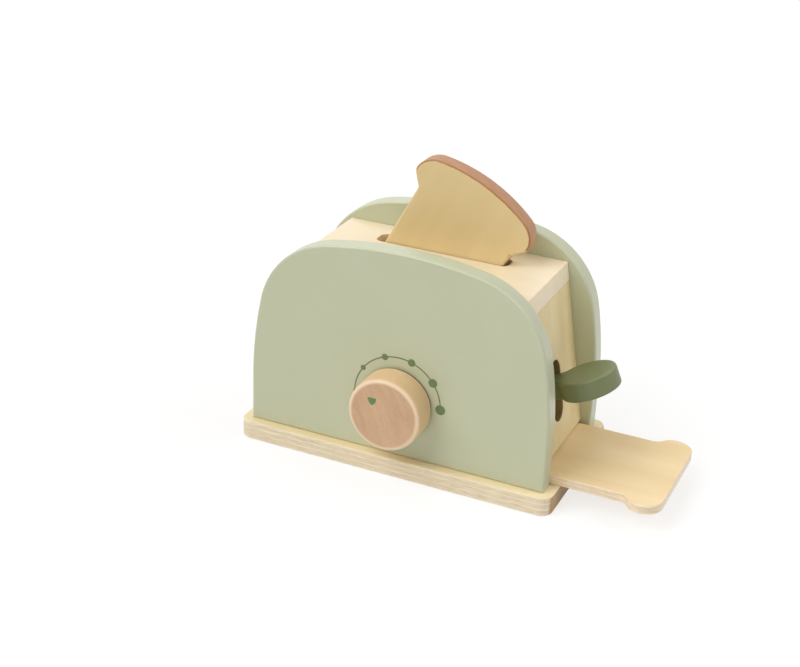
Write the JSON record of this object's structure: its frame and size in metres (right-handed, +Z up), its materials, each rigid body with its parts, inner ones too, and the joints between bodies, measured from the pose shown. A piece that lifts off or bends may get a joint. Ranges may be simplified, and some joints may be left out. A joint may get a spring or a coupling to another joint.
{
  "type": "toy toaster",
  "caption": "Wooden toy toaster: arched painted panels on a plywood base, see-saw side lever, turning knob, pull-out crumb tray and a bread slice leaning in a top slot.",
  "frame": {"origin": "middle of the base board's underside", "axes": "+Z up, +X towards the end with the lever and the crumb tray, front panel and knob towards -Y"},
  "size_m": [0.2651, 0.1217, 0.1795],
  "materials": {
    "birch_plywood": "clear satin lacquer",
    "tray_plywood": "clear satin lacquer",
    "bread_plywood": "clear satin lacquer, brown painted crust",
    "basswood": "clear satin lacquer",
    "beech": "clear satin lacquer",
    "beech_dowel": "raw",
    "sage_paint": "matte water-based paint",
    "olive_paint": "satin water-based paint",
    "felt": "pressed felt",
    "zinc_steel": "zinc plated"
  },
  "bodies": {
    "housing": {"base_board": "birch_plywood", "front_panel": "sage_paint", "back_panel": "sage_paint", "top_board": "basswood", "left_side_board": "basswood", "right_side_board": "basswood", "front_top_dowels": "beech_dowel", "back_top_dowels": "beech_dowel", "left_side_dowels": "beech_dowel", "right_side_dowels": "beech_dowel", "front_base_screws": "zinc_steel", "back_base_screws": "zinc_steel", "lever_pivot_dowel": "beech_dowel", "lever_stop_dowel": "beech_dowel", "bread_rest_dowel": "beech_dowel"},
    "knob": {"knob": "beech", "knob_spacer": "felt", "knob_washer": "zinc_steel", "knob_screw": "zinc_steel"},
    "lever": {"lever": "olive_paint"},
    "crumb_tray": {"crumb_tray": "tray_plywood"},
    "bread_slice": {"bread_slice": "bread_plywood"}
  },
  "joints": [
    {"name": "knob_turn", "type": "hinge", "parent": "housing", "child": "knob", "pos_m": [0.0013, -0.0586, 0.047], "axis": [0, 1, 0], "continuous": true},
    {"name": "lever_press", "type": "hinge", "parent": "housing", "child": "lever", "pos_m": [0.06794, 0, 0.0495], "axis": [0, 1, 0], "range_deg": [0, 37]},
    {"name": "tray_slide", "type": "slide", "parent": "housing", "child": "crumb_tray", "axis": [1, 0, 0], "range_m": [-0.044, 0.13]},
    {"name": "slice_lift", "type": "slide", "parent": "housing", "child": "bread_slice", "axis": [0.461, 0, 0.8874], "range_m": [0, 0.055]}
  ]
}
